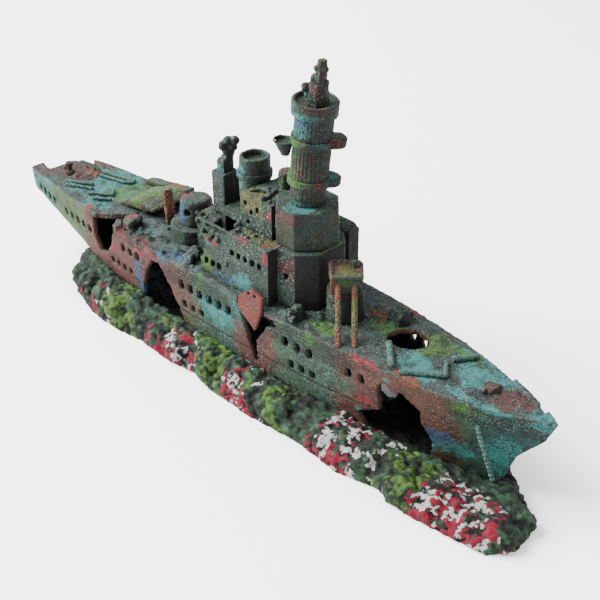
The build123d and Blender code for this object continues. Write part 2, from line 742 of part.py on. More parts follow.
SADDLE_HALF = 6.0
EAR = 1.6
with BuildPart() as tube_saddle:
    add(block(
        at(SADDLE_AT), at(SADDLE_AT + 4), AIR_SIDE - SADDLE_HALF, AIR_SIDE + SADDLE_HALF,
        SEAT, AIR_HEIGHT - tube_radius,
    ))
    for side in (-1, 1):
        ear_at = AIR_SIDE + side * (tube_radius + FIT + EAR / 2)
        add(block(
            at(SADDLE_AT), at(SADDLE_AT + 4), ear_at - EAR / 2, ear_at + EAR / 2,
            SEAT, AIR_HEIGHT + 1.5,
        ))
write(tube_saddle.part, "tube_saddle")
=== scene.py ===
"""Looks of the sunken warship ornament: painted cast resin on a reef, built over the CAD frame.

The frame is in metres, +X to the bow, +Y to port, +Z up. Shaping works in ship coordinates:
millimetres forward of the transom, to port of the centre line, and above the tank floor.
"""

import itertools
import math

import bmesh
import bpy
import numpy as np
from mathutils import Matrix, Vector


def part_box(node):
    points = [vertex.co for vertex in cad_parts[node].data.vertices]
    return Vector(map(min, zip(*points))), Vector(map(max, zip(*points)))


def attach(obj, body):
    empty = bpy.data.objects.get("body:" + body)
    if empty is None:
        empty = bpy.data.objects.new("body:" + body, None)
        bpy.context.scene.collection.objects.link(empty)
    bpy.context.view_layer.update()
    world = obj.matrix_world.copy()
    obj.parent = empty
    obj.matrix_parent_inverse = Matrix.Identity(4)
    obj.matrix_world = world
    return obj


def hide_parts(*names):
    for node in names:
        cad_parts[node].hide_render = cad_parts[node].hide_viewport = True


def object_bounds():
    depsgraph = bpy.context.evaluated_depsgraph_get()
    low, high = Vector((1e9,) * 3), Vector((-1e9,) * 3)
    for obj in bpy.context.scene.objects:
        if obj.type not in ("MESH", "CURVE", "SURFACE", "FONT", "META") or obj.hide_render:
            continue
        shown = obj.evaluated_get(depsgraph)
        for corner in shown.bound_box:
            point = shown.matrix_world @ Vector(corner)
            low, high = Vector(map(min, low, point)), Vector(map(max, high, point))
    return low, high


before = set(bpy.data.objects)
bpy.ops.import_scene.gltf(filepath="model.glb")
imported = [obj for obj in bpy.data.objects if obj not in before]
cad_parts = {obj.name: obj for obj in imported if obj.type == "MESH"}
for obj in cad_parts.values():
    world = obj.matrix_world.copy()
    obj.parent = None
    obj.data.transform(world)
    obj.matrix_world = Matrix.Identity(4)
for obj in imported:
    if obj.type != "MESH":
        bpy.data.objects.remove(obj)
MM = 0.001
frame_low, frame_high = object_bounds()
BOX_LOW = np.array(frame_low)
BOX_HIGH = np.array(frame_high)
TRANSOM = Vector((frame_low.x, 0, 0))
BODY = "ornament"
SEED = 11

chance = np.random.default_rng(SEED)


def in_frame(s, y, z):
    """A place given in ship coordinates, in the frame's metres."""
    return TRANSOM + Vector((s, y, z)) * MM


def in_ship(points):
    """Frame points, in ship coordinates."""
    return (points - np.array(TRANSOM)) / MM


def top_of(node):
    """The highest point of a CAD node, in millimetres."""
    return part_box(node)[1].z / MM


DECK = top_of("main_deck")
SHEER_FROM = 232.0
SHEER_SLOPE = 0.025


def deck_at(s):
    """Height of the deck line at these stations."""
    return DECK - np.maximum(0.0, s - SHEER_FROM) * SHEER_SLOPE


# ---------------------------------------------------------------- noise


def scramble(cell, seed):
    """A repeatable value from 0 to 1 for each whole-number cell."""
    key = cell[:, 0] * 73856093 ^ cell[:, 1] * 19349663 ^ cell[:, 2] * 83492791 ^ seed * 2654435
    key = (key & 0xFFFFFFFF) * 668265263 & 0xFFFFFFFF
    key = (key ^ key >> 15) * 374761393 & 0xFFFFFFFF
    return ((key ^ key >> 13) & 0xFFFFF) / 0xFFFFF


def noise(points, size, seed=0):
    """Smooth noise from -1 to 1, with lumps about one size across."""
    scaled = points / size
    cell = np.floor(scaled).astype(np.int64)
    part = scaled - cell
    part = part * part * (3 - 2 * part)
    total = np.zeros(len(points))
    for corner in itertools.product((0, 1), repeat=3):
        step = np.array(corner)
        weight = np.prod(np.where(step, part, 1 - part), axis=1)
        total += weight * scramble(cell + step, seed)
    return 2 * total - 1


def rough(points, size, octaves=3, seed=0):
    """Layered noise from about -1 to 1: each layer half the size and half the strength."""
    total = np.zeros(len(points))
    for octave in range(octaves):
        total += noise(points, size / 2**octave, seed + octave) / 2**octave
    return total / 1.5


def knobs(points, size, seed=0):
    """Rounded knobs packed together: 1 on the middle of a knob, 0 in the creases."""
    scaled = points / size
    cell = np.floor(scaled).astype(np.int64)
    nearest = np.full(len(points), 9.0)
    for step in itertools.product((-1, 0, 1), repeat=3):
        near = cell + np.array(step)
        jitter = np.stack([scramble(near, seed + axis) for axis in range(3)], axis=1)
        nearest = np.minimum(nearest, ((near + jitter - scaled) ** 2).sum(axis=1))
    return np.clip(1 - nearest, 0, 1)


def ease(low, high, values):
    """0 below low, 1 above high, and smooth between."""
    t = np.clip((values - low) / (high - low), 0, 1)
    return t * t * (3 - 2 * t)


def between(low, high, values, soft):
    """1 from low to high, falling off over soft on both sides."""
    return ease(low - soft, low + soft, values) * (1 - ease(high - soft, high + soft, values))


def dabs(ship, places, seed):
    """Paint dabs: ragged ellipsoids given as (s, y, z, half length, half breadth, half height)."""
    ragged = rough(ship, 9.0, 4, seed)
    mask = np.zeros(len(ship))
    for s, y, z, long, wide, high in places:
        distance = np.linalg.norm((ship - (s, y, z)) / (long, wide, high), axis=1)
        mask = np.maximum(mask, ease(1.25, 0.75, distance + 0.45 * ragged))
    return mask


# ---------------------------------------------------------------- shapes joined to the castings


def ball(place, radius, squash=(1, 1, 1), turn=0.0):
    """A low lump: a flattened ball in ship coordinates."""
    shape = Matrix.Translation(in_frame(*place)) @ Matrix.Rotation(turn, 4, "Z")
    return "ball", shape @ Matrix.Diagonal((*[radius * k * MM for k in squash], 1))


def plank(start, end, wide, thick):
    """A square bar from one place to another."""
    a, b = in_frame(*start), in_frame(*end)
    turn = (b - a).to_track_quat("Z", "Y").to_matrix().to_4x4()
    size = Matrix.Diagonal((wide * MM, thick * MM, (b - a).length, 1))
    return "box", Matrix.Translation((a + b) / 2) @ turn @ size


def rod(start, end, radius):
    """A round bar from one place to another."""
    a, b = in_frame(*start), in_frame(*end)
    turn = (b - a).to_track_quat("Z", "Y").to_matrix().to_4x4()
    size = Matrix.Diagonal((radius * MM, radius * MM, (b - a).length, 1))
    return "rod", Matrix.Translation((a + b) / 2) @ turn @ size


def rubble(count, s, y, z, radius):
    """Lumps strewn over a patch: ranges of station, breadth, height and radius."""
    lumps = []
    for _ in range(count):
        place = [chance.uniform(*span) for span in (s, y, z)]
        squash = chance.uniform(0.6, 1.25, 3)
        lumps.append(ball(place, chance.uniform(*radius), squash, chance.uniform(0, math.tau)))
    return lumps


def add_shape(bm, kind, matrix):
    """Adds one of the shapes above to a bmesh."""
    if kind == "ball":
        bmesh.ops.create_icosphere(bm, subdivisions=2, radius=1.0, matrix=matrix)
    elif kind == "box":
        bmesh.ops.create_cube(bm, size=1.0, matrix=matrix)
    else:
        bmesh.ops.create_cone(
            bm, cap_ends=True, segments=16, radius1=1.0, radius2=1.0, depth=1.0, matrix=matrix
        )


# ---------------------------------------------------------------- casting

STRAY_AREA = 45.0  # loose lumps with less skin than this, in square millimetres, are dropped


def read(mesh):
    """The points, normals and faces of a mesh made of quads."""
    points = np.empty(len(mesh.vertices) * 3, np.float32)
    mesh.vertices.foreach_get("co", points)
    normals = np.empty(len(mesh.vertices) * 3, np.float32)
    mesh.vertex_normals.foreach_get("vector", normals)
    corners = np.empty(len(mesh.loops), np.int32)
    mesh.loops.foreach_get("vertex_index", corners)
    points, normals = (flat.reshape(-1, 3).astype(float) for flat in (points, normals))
    return points, normals, corners.reshape(-1, 4)


def without_strays(points, faces, fewest):
    """The faces, less the loose islands that have fewer than this many."""
    label = np.arange(len(points))
    settled = False
    while not settled:
        lowest = label[faces].min(axis=1)
        joined = label.copy()
        for corner in faces.T:
            np.minimum.at(joined, corner, lowest)
        joined = joined[joined]
        settled = (joined == label).all()
        label = joined
    island = label[faces[:, 0]]
    return faces[np.bincount(island)[island] >= fewest]


def fused(nodes, voxel, extras=(), soften=0):
    """The CAD nodes' shapes and the extras, fused into one skin of quads about one voxel across."""
    bm = bmesh.new()
    for node in nodes:
        bm.from_mesh(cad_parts[node].data)
    for kind, matrix in extras:
        add_shape(bm, kind, matrix)
    mesh = bpy.data.meshes.new("blank")
    bm.to_mesh(mesh)
    bm.free()
    blank = bpy.data.objects.new("blank", mesh)
    bpy.context.scene.collection.objects.link(blank)
    skin = blank.modifiers.new("skin", "REMESH")
    skin.mode = "VOXEL"
    skin.voxel_size = voxel * MM
    if soften:
        worn = blank.modifiers.new("worn", "SMOOTH")
        worn.iterations = soften
    bpy.context.view_layer.update()
    finished = blank.evaluated_get(bpy.context.evaluated_depsgraph_get())
    made = bpy.data.meshes.new_from_object(finished)
    points, normals, faces = read(made)
    bpy.data.objects.remove(blank)
    bpy.data.meshes.remove(mesh)
    bpy.data.meshes.remove(made)
    if extras:
        faces = without_strays(points, faces, round(STRAY_AREA / voxel**2))
    return points, normals, faces


def shaped(points, normals, push):
    """The points moved out along their normals by push millimetres, kept inside the CAD box."""
    moved = points + normals * (push * MM)[:, None]
    return np.clip(moved, BOX_LOW, BOX_HIGH)


def piece(name, nodes, points, faces, masks, material, body=BODY):
    """A shown piece that stands for CAD nodes; masks are the material's named paint masks."""
    used, renumbered = np.unique(faces, return_inverse=True)
    mesh = bpy.data.meshes.new(name)
    mesh.from_pydata(points[used].tolist(), [], renumbered.reshape(-1, 4).tolist())
    for mask, values in masks.items():
        layer = mesh.attributes.new(mask, "FLOAT", "POINT")
        layer.data.foreach_set("value", values[used].astype(np.float32))
    mesh.shade_smooth()
    mesh.materials.append(material)
    obj = bpy.data.objects.new(name, mesh)
    bpy.context.scene.collection.objects.link(obj)
    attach(obj, body)
    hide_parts(*nodes)
    return obj


def cast(
    node, voxel, grit, material, extras=(), push=None, paint=None, body=BODY, soften=0,
):
    """One casting for one CAD node: grit is how rough its surface is, in millimetres."""
    points, normals, faces = fused([node], voxel, extras, soften)
    ship = in_ship(points)
    grain = rough(ship, 1.7, 2, SEED)
    lumps = rough(ship, 5.5, 3, SEED + 5)
    relief = grit * (0.45 * grain + 0.75 * lumps)
    if push:
        relief = relief + push(ship, normals)
    # The fore mask marks forward-facing skin, which the paints darken as painted shade.
    masks = {"relief": relief / (grit + 0.2), "fore": ease(0.15, 0.6, normals[:, 0])}
    for index, (mask, places) in enumerate((paint or {}).items()):
        masks[mask] = dabs(ship, places, SEED + 20 * index)
    points = shaped(points, normals, relief)
    return piece(f"{node}_cast", [node], points, faces, masks, material, body)


# ---------------------------------------------------------------- materials


PIGMENT = 0.2  # how dark the paints are under the studio light, against their screen values


def linear(red, green, blue):
    """A paint colour given as 0 to 255 screen values, as the renderer's linear colour."""
    parts = [value / 255 for value in (red, green, blue)]
    parts = [v / 12.92 if v <= 0.04045 else ((v + 0.055) / 1.055) ** 2.4 for v in parts]
    return (*[v * PIGMENT for v in parts], 1.0)


class Paint:
    """Builds one node material step by step."""

    def __init__(self, name):
        self.material = bpy.data.materials.new(name)
        self.material.use_nodes = True
        self.tree = self.material.node_tree
        self.shader = self.tree.nodes["Principled BSDF"]
        self.place = self.tree.nodes.new("ShaderNodeTexCoord").outputs["Object"]

    def node(self, kind, inputs=(), **settings):
        made = self.tree.nodes.new(kind)
        for key, value in settings.items():
            setattr(made, key, value)
        for key, value in dict(inputs).items():
            if isinstance(value, bpy.types.NodeSocket):
                self.tree.links.new(value, made.inputs[key])
            else:
                made.inputs[key].default_value = value
        return made

    def noise(self, size, detail=3.0, stretch=(1, 1, 1)):
        """Noise with lumps about size millimetres across."""
        spread = self.node("ShaderNodeMapping", {0: self.place, 3: stretch})
        inputs = {"Vector": spread.outputs[0], "Scale": 1000 / size, "Detail": detail}
        return self.node("ShaderNodeTexNoise", inputs).outputs["Fac"]

    def mask(self, name):
        return self.node("ShaderNodeAttribute", attribute_name=name).outputs["Fac"]

    def math(self, operation, a, b=0.0, c=0.0):
        return self.node("ShaderNodeMath", {0: a, 1: b, 2: c}, operation=operation).outputs[0]

    def span(self, value, low, high, to_low=0.0, to_high=1.0):
        """The value's range from low to high, eased onto another range."""
        inputs = {"Value": value, "From Min": low, "From Max": high, "To Min": to_low, "To Max": to_high}
        return self.node("ShaderNodeMapRange", inputs, interpolation_type="SMOOTHSTEP").outputs["Result"]

    def blend(self, share, a, b, kind="MIX"):
        inputs = {"Factor": share, 6: a, 7: b}
        return self.node("ShaderNodeMix", inputs, data_type="RGBA", blend_type=kind).outputs[2]

    def shaded(self, colour, shade):
        """The colour made darker or lighter by a factor."""
        grey = self.node("ShaderNodeCombineColor", {0: shade, 1: shade, 2: shade}).outputs[0]
        return self.blend(1.0, colour, grey, "MULTIPLY")

    def ramp(self, value, stops):
        """Colours in order along a value from 0 to 1."""
        made = self.node("ShaderNodeValToRGB", {"Fac": value})
        elements = made.color_ramp.elements
        while len(elements) < len(stops):
            elements.new(0.5)
        for element, (position, colour) in zip(elements, stops):
            element.position = position
            element.color = colour
        return made.outputs["Color"]


def resin(
    name, tints, dab_colours, bands=None, hollow_shade=0.75, brushed=(120, 150, 140), brush=0.35, speckle=0.6,
    shade_fore=0.0,
):
    """Matt painted resin: mottled tints, then dabs, then painted shade darkening the hollows, a dry-brushed
    lighter colour on the high spots, and fine grit; then painted shade on forward-facing skin and
    near-black painted shade on skin marked inside."""
    paint = Paint(name)
    mottle = paint.noise(8.0, 4.0)
    fine = paint.noise(0.9, 2.0)
    grit = paint.noise(0.55, 1.0)
    colour = paint.blend(paint.span(mottle, 0.4, 0.6), linear(*tints[0]), linear(*tints[1]))
    if bands:
        along = paint.node("ShaderNodeSeparateXYZ", {0: paint.place}).outputs[0]
        sway = paint.math("MULTIPLY_ADD", paint.noise(22.0, 4.0), 0.05, -0.025)
        share = paint.math("ADD", along, sway)
        share = paint.node(
            "ShaderNodeMapRange",
            {"Value": share, "From Min": BOX_LOW[0], "From Max": BOX_HIGH[0]},
        ).outputs["Result"]
        length = (BOX_HIGH[0] - BOX_LOW[0]) / MM
        stripe = paint.ramp(share, [(s / length, linear(*tint)) for s, tint in bands])
        colour = paint.blend(paint.span(paint.mask("flank"), 0.3, 0.7), colour, stripe)
        shade = paint.span(paint.noise(5.0, 4.0), 0.3, 0.7, 0.78, 1.12)
        colour = paint.shaded(colour, shade)
    broken = paint.math("MULTIPLY_ADD", paint.noise(3.2, 4.0), 2.8, -1.4)
    broken = paint.math("ADD", broken, paint.math("MULTIPLY_ADD", fine, 2.0, -1.0))
    for mask, tint in dab_colours.items():
        ragged = paint.math("ADD", paint.math("MULTIPLY", paint.mask(mask), 1.1), broken)
        cover = paint.span(ragged, 0.35, 1.05, 0.0, 0.85)
        cover = paint.math("MULTIPLY", cover, paint.span(paint.mask(mask), 0.0, 0.3))
        colour = paint.blend(cover, colour, linear(*tint))
    relief = paint.mask("relief")
    spotted = paint.math("MULTIPLY_ADD", grit, 1.4, -0.7)
    height = paint.math("ADD", relief, spotted)
    # Painted shade: the low spots of the relief and grit are darkened towards near black.
    hollow_shade_mask = paint.span(height, 0.15, -0.65)
    colour = paint.blend(paint.math("MULTIPLY", hollow_shade_mask, hollow_shade), colour, linear(16, 20, 18))
    edge = paint.node("ShaderNodeNewGeometry").outputs["Pointiness"]
    raised = paint.math("ADD", paint.span(height, 0.25, 0.9), paint.span(edge, 0.52, 0.62))
    worn = paint.math("MULTIPLY", raised, paint.span(paint.noise(12.0, 3.0), 0.42, 0.62, 0.25, 1.0))
    colour = paint.blend(paint.math("MULTIPLY", worn, brush), colour, linear(*brushed))
    patchy = paint.span(paint.noise(14.0, 3.0), 0.38, 0.62, 0.35, 1.0)
    sand = paint.noise(0.7, 2.0)
    speck = paint.math("MULTIPLY", paint.span(sand, 0.56, 0.68, 0.0, speckle), patchy)
    colour = paint.blend(speck, colour, linear(190, 222, 206))
    pit = paint.math("MULTIPLY", paint.span(sand, 0.49, 0.38, 0.0, 0.92), patchy)
    colour = paint.blend(pit, colour, linear(12, 15, 15))
    # Painted shade: forward-facing skin, turned away from the key light, is darkened by shade_fore.
    shaded_side = paint.span(paint.mask("fore"), 0.0, 1.0, 0.0, shade_fore)
    colour = paint.blend(shaded_side, colour, linear(12, 13, 13))
    # Painted shade: skin marked inside (inside the hull, under the decks, and the rock under the hull) is
    # painted near black.
    colour = paint.blend(paint.mask("inside"), colour, linear(2, 2, 2))
    bump = paint.node("ShaderNodeBump", {"Strength": 0.5, "Distance": 0.3 * MM, "Height": fine})
    paint.tree.links.new(colour, paint.shader.inputs["Base Color"])
    paint.tree.links.new(paint.span(grit, 0.3, 0.7, 0.72, 0.92), paint.shader.inputs["Roughness"])
    paint.tree.links.new(bump.outputs[0], paint.shader.inputs["Normal"])
    paint.shader.inputs["Specular IOR Level"].default_value = 0.25
    return paint.material


CYAN = (72, 182, 178)
RED = (190, 34, 50)
MOSS = (98, 152, 44)
BLUE = (56, 112, 166)
ORANGE = (176, 84, 36)
OLIVE = (128, 126, 44)
RUST = (118, 50, 44)
ACCENTS = {
    "cyan": CYAN, "red": RED, "moss": MOSS, "blue": BLUE, "orange": ORANGE, "olive": OLIVE, "rust": RUST,
}

HULL_BANDS = (
    (0, (70, 162, 152)), (12, (78, 156, 136)), (26, (96, 142, 84)), (52, (108, 136, 74)),
    (60, (146, 88, 46)), (70, (148, 66, 50)), (92, (138, 74, 66)), (138, (136, 84, 72)),
    (148, (100, 112, 64)), (158, (74, 130, 100)), (176, (80, 130, 112)), (184, (136, 74, 62)),
    (200, (134, 76, 60)), (208, (84, 122, 92)), (232, (84, 120, 98)), (240, (136, 78, 62)),
    (272, (132, 76, 58)), (284, (122, 82, 56)), (291, (82, 112, 68)), (302, (58, 104, 92)),
    (318, (54, 110, 108)), (334, (66, 110, 106)),
)
hull_paint = resin(
    "hull paint", ((88, 100, 92), (72, 92, 92)), ACCENTS, bands=HULL_BANDS, brushed=CYAN, speckle=0.45,
)
house_paint = resin(
    "house paint", ((72, 98, 74), (56, 80, 72)), ACCENTS, brushed=(112, 168, 146), hollow_shade=0.9,
    shade_fore=0.97, speckle=0.8,
)
tower_paint = resin(
    "tower paint", ((44, 92, 76), (76, 78, 52)), ACCENTS, brushed=(86, 170, 142), hollow_shade=0.9, shade_fore=0.6,
)
plate_paint = resin(
    "red plate paint", ((168, 62, 52), (150, 74, 60)), ACCENTS, brushed=(176, 112, 96), hollow_shade=0.6,
)
well_paint = resin("well paint", ((118, 74, 62), (96, 66, 58)), ACCENTS, brushed=(150, 104, 92))
moss_paint = resin("moss paint", ((94, 104, 62), (84, 88, 74)), ACCENTS, brushed=(120, 150, 96))
rail_paint = resin("rail paint", ((84, 148, 142), (98, 150, 130)), ACCENTS, brushed=(130, 186, 180))
turret_paint = resin(
    "turret paint", ((104, 112, 70), (84, 96, 78)), ACCENTS, brushed=(136, 150, 110), shade_fore=0.5,
)
barrel_paint = resin(
    "barrel paint", ((158, 82, 46), (104, 116, 60)), ACCENTS, brushed=(168, 130, 90), hollow_shade=0.6,
)


def reef_material():
    """Dark green rock with moss, knobbly coral dabbed crimson and white, painted shade in the low spots,
    and near-black painted shade under the hull.
    """
    paint = Paint("reef rock")
    mottle = paint.noise(11.0, 5.0)
    fine = paint.noise(1.3, 3.0)
    colour = paint.blend(paint.span(mottle, 0.4, 0.6), linear(34, 56, 40), linear(50, 92, 62))
    brown = paint.span(paint.noise(17.0, 3.0), 0.55, 0.68, 0.0, 0.5)
    colour = paint.blend(brown, colour, linear(62, 52, 40))
    light = paint.math("ADD", paint.mask("moss"), paint.math("MULTIPLY_ADD", fine, 0.7, -0.35))
    green = paint.ramp(paint.noise(2.6, 4.0), [(0.38, linear(40, 88, 26)), (0.66, linear(122, 172, 50))])
    colour = paint.blend(paint.span(light, 0.2, 0.6), colour, green)
    relief = paint.mask("relief")
    grit = paint.math("MULTIPLY_ADD", paint.noise(0.7, 1.0), 1.2, -0.6)
    height = paint.math("ADD", relief, grit)
    # Painted shade: the low spots of the rock are darkened nearly to black.
    colour = paint.blend(paint.span(height, 0.35, -0.4, 0.0, 0.95), colour, linear(8, 12, 9))
    colour = paint.blend(paint.span(height, 0.45, 1.2, 0.0, 0.55), colour, linear(104, 160, 118))
    broken = paint.math("MULTIPLY_ADD", paint.noise(1.9, 4.0, (1, 1, 0.55)), 3.2, -1.6)
    for mask, tint in (("white", (250, 246, 244)), ("coral", (182, 0, 58))):
        ragged = paint.math("ADD", paint.mask(mask), broken)
        ragged = paint.math("MULTIPLY", ragged, paint.span(paint.mask(mask), 0.02, 0.3))
        high = paint.math("MULTIPLY", paint.span(ragged, 0.3, 0.55), paint.span(height, -0.5, -0.1))
        colour = paint.blend(high, colour, linear(*tint))
    # Painted shade: rock marked inside, under the hull, is painted near black.
    colour = paint.blend(paint.mask("inside"), colour, linear(2, 2, 2))
    bump = paint.node("ShaderNodeBump", {"Strength": 0.8, "Distance": 0.5 * MM, "Height": fine})
    paint.tree.links.new(colour, paint.shader.inputs["Base Color"])
    paint.tree.links.new(paint.span(fine, 0.3, 0.7, 0.7, 0.9), paint.shader.inputs["Roughness"])
    paint.tree.links.new(bump.outputs[0], paint.shader.inputs["Normal"])
    paint.shader.inputs["Specular IOR Level"].default_value = 0.2
    return paint.material


reef_paint = reef_material()

# ---------------------------------------------------------------- hull and decks, one skin
HULL_NODES = [f"hull_{part}_{side}" for part in ("aft", "mid", "bow") for side in ("starboard", "port")]
DECK_NODES = ["quarterdeck", "main_deck", "foredeck"]
deck_rubble = (
    rubble(44, (86, 120), (-24, -15), (44.3, 45.6), (0.9, 2.4))
    + rubble(36, (124, 150), (-24, -14), (44.3, 45.6), (0.9, 2.6))
    + rubble(16, (152, 194), (-25, -22), (44.4, 45.2), (0.7, 1.3))
    + rubble(34, (196, 224), (-22, -10), (44.3, 45.3), (0.7, 2.0))
    + rubble(30, (222, 248), (-20, -6), (44, 44.8), (0.6, 1.5))
    + rubble(24, (226, 242), (2, 14), (44.2, 45.4), (0.8, 2.2))
    + rubble(14, (56, 68), (-19, -9), (44.4, 45.3), (0.7, 1.7))
    + rubble(26, (284, 304), (-7, 7), (42.8, 43.3), (0.5, 1.3))
    + rubble(30, (205, 276), (13, 17), (43.4, 44.2), (0.8, 1.5))
    + rubble(20, (86, 132), (12, 22), (44.3, 45.4), (0.8, 2.2))
)
strands = [
    plank((s, y, deck_at(s) + 0.2), (s + long, y + drift, deck_at(s + long)), 0.9, 0.9)
    for s, y, long, drift in (
        (198, -19, 22, 1.5), (226, -13, 16, -3), (227, -11, 16, -1.5), (228, -9, 15, 0.5),
        (229, -7, 13, 2.0), (152, -23.5, 26, -0.4), (240, 17.6, 28, -1.5),
    )
]
points, normals, faces = fused(HULL_NODES + DECK_NODES + ["bow_bulwark"], 0.62, deck_rubble + strands)
ship = in_ship(points)
below = deck_at(ship[:, 0]) - ship[:, 2]
flank = ease(0.75, 0.35, normals[:, 2]) * ease(-0.6, 0.8, below + 0.5)
outside = ease(0.1, 0.35, normals[:, 1] * np.sign(ship[:, 1])) * flank


def lines(values, pitch, width):
    """Fine engraved lines at an even pitch: 1 in a line, 0 between."""
    offset = (values / pitch) % 1.0 - 0.5
    return np.exp(-((offset * pitch / width) ** 2))


wander = noise(ship, 30.0, SEED) * 0.6
top_strakes = between(1.2, 11.5, below, 1.0) * between(122, 246, ship[:, 0] + 6 * wander, 4)
stern_strakes = between(0.8, 5.0, below, 0.6) * between(60, 122, ship[:, 0], 4)
bow_strakes = between(0.8, 9.0, below, 1.0) * between(262, 330, ship[:, 0], 8)
fade = ease(-0.5, 0.2, noise(ship, 14.0, SEED + 3))
engraved = lines(below + wander * 0.5, 1.75, 0.5) * (0.4 + 0.6 * fade)
engraved = engraved * np.maximum(top_strakes, np.maximum(0.7 * stern_strakes, 0.4 * bow_strakes))
seam = np.exp(-(((below - 24.5 - wander) / 0.5) ** 2)) * between(96, 270, ship[:, 0], 3)
grain = rough(ship, 1.5, 2, SEED)
lumps = rough(ship, 6.0, 3, SEED + 5)
ruin = between(84, 150, ship[:, 0], 5) * ease(6.0, 0.0, below)
deck_pits = (1 - flank) * rough(ship, 3.2, 3, SEED + 9)
push = 0.16 * grain + 0.22 * lumps + 0.7 * ruin * lumps + 0.28 * deck_pits
push = push - outside * (0.6 * engraved + 0.6 * seam)
hull_dabs = {
    "cyan": (
        (3, 0, 40, 11, 20, 9), (20, -19, 44.5, 14, 2, 1.5), (46, 4, 45, 30, 19, 3),
        (60, -14, 45, 10, 8, 2), (252, -21, 9, 4, 5, 4), (264, -17, 7, 12, 8, 1.6),
        (247, -21, 14, 3, 4, 4), (308, 0, 20, 10, 9, 12), (290, -10, 14, 12, 5, 6),
        (304, -10, 43.5, 20, 3, 1.5), (322, 0, 42, 12, 6, 2.5), (268, -8, 44, 12, 8, 1.4),
        (288, 6, 43.5, 14, 9, 1.2), (262, -21, 40, 3, 3, 2), (300, 14, 43.5, 30, 2.5, 2),
        (163, -24, 30, 12, 4, 7), (178, -24, 38, 4, 4, 5),
    ),
    "blue": (
        (104, -22, 24, 3, 4, 12), (126, -24, 44, 5, 6, 3), (134, -20, 46, 7, 4, 3), (284, -12, 18, 9, 4, 5),
    ),
    "moss": (
        (66, 4, 45, 12, 12, 2), (262, 8, 44, 10, 8, 2.5), (243, 4, 45, 8, 8, 2), (278, 12, 44, 8, 3, 2),
        (152, -24, 40, 5, 3, 5), (300, -14, 40, 10, 3, 4), (222, -23, 42, 7, 3, 3),
        (224, -16, 45, 10, 5, 1.5),
    ),
    "red": (
        (250, -21.5, 44, 9, 2.4, 2.2), (92, -22, 43, 8, 3, 3), (108, -23, 41, 6, 3, 6),
        (62, -20, 45, 3, 4, 1.5), (82, -22, 33, 6, 3, 4), (118, -24, 42, 4, 3, 2),
        (240, 21, 45, 6, 2, 1.5), (250, -20, 24, 6, 3, 2),
    ),
    "orange": ((268, -17, 43, 9, 3, 2), (232, 8, 45, 4, 4, 1.5)),
    "rust": (
        (8, -9, 45, 10, 6, 1.6), (20, 15, 45, 9, 4, 1.6), (188, -24, 24, 4, 4, 10), (306, 2, 43, 12, 7, 1),
    ),
}
# Painted shade: inward-facing skin inside the hull below the deck, and the undersides of the decks, are
# marked to be painted near black.
inward = ease(0.05, -0.25, normals[:, 1] * np.sign(ship[:, 1])) * ease(2.2, 3.4, below)
underneath = ease(-0.2, -0.6, normals[:, 2]) * between(2.2, 4.6, below, 0.6)
hull_masks = {"flank": flank, "relief": (push + 0.02) / 0.38, "inside": np.maximum(inward, underneath)}
for index, (mask, places) in enumerate(hull_dabs.items()):
    hull_masks[mask] = dabs(ship, places, SEED + 20 * index)
points = shaped(points, normals, push)
middle = in_ship(points[faces].mean(axis=1))
arch_joint, crack_joint = (
    in_ship(np.array([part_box(f"hull_{part}_port")[1]]))[0, 0] for part in ("aft", "mid")
)
quarter_end = in_ship(np.array([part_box("main_deck")[0]]))[0, 0]
fore_start = in_ship(np.array([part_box("foredeck")[0]]))[0, 0]
bulwark_from = in_ship(np.array([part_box("bow_bulwark")[0]]))[0, 0]
above = middle[:, 2] - deck_at(middle[:, 0])
rim = 0.4 * (in_ship(BOX_HIGH)[0] - middle[:, 0]) - 2.2  # the half-breadth just inside the bow's rim
is_bulwark = (above > 0.15) & (middle[:, 0] > bulwark_from) & (np.abs(middle[:, 1]) > rim)
is_deck = (above > -3.0) & ~is_bulwark
parts = {"bow_bulwark": is_bulwark}
deck_ends = ((-9, quarter_end), (quarter_end, fore_start), (fore_start, 400))
for node, (aft, fore) in zip(DECK_NODES, deck_ends):
    parts[node] = is_deck & (middle[:, 0] >= aft) & (middle[:, 0] < fore)
shell_ends = {"aft": (-9, arch_joint), "mid": (arch_joint, crack_joint), "bow": (crack_joint, 400)}
for part, (aft, fore) in shell_ends.items():
    for side, sign in (("starboard", -1), ("port", 1)):
        inside = (middle[:, 0] >= aft) & (middle[:, 0] < fore) & (middle[:, 1] * sign > 0)
        parts[f"hull_{part}_{side}"] = inside & ~is_deck & ~is_bulwark
for node, chosen in parts.items():
    piece(f"{node}_cast", [node], points, faces[chosen], hull_masks, hull_paint)

# ---------------------------------------------------------------- reef
boulders = [
    ball((s, y, z), radius, (1.1, 0.9, 0.85), turn)
    for s, y, z, radius, turn in (
        (50, -12, 7, 8, 0), (58, -22, 6, 8, 1), (70, -28, 8, 8, 2), (84, -30, 6, 8, 0),
        (100, -31, 7, 8, 1), (113, -29, 6, 7, 2), (130, -30, 5, 8, 0), (146, -31, 5, 8, 1),
        (166, -31, 7, 8.5, 2), (184, -31, 5, 8, 0), (198, -32, 4, 8, 1), (213, -31, 6, 8.5, 2),
        (229, -29, 5, 7, 0), (244, -31, 4, 8.5, 1), (262, -27, 6, 8, 2), (284, -32, 4.5, 8.5, 0),
        (300, -30, 3.5, 8, 1), (313, -27, 3.5, 8, 2), (324, -25, 4, 9, 0), (325, -15, 4, 8, 1),
        (54, 16, 7, 8, 0), (72, 26, 6, 8, 1), (92, 30, 6, 9, 2), (118, 29, 5, 8, 0), (146, 31, 6, 8, 1),
        (172, 28, 5, 8, 2), (196, 31, 5, 8, 0), (256, 27, 5, 8, 1), (284, 16, 4, 7, 2), (302, 3, 3.5, 7, 0),
    )
]
points, normals, faces = fused(["reef_base"], 0.75, boulders)
ship = in_ship(points)
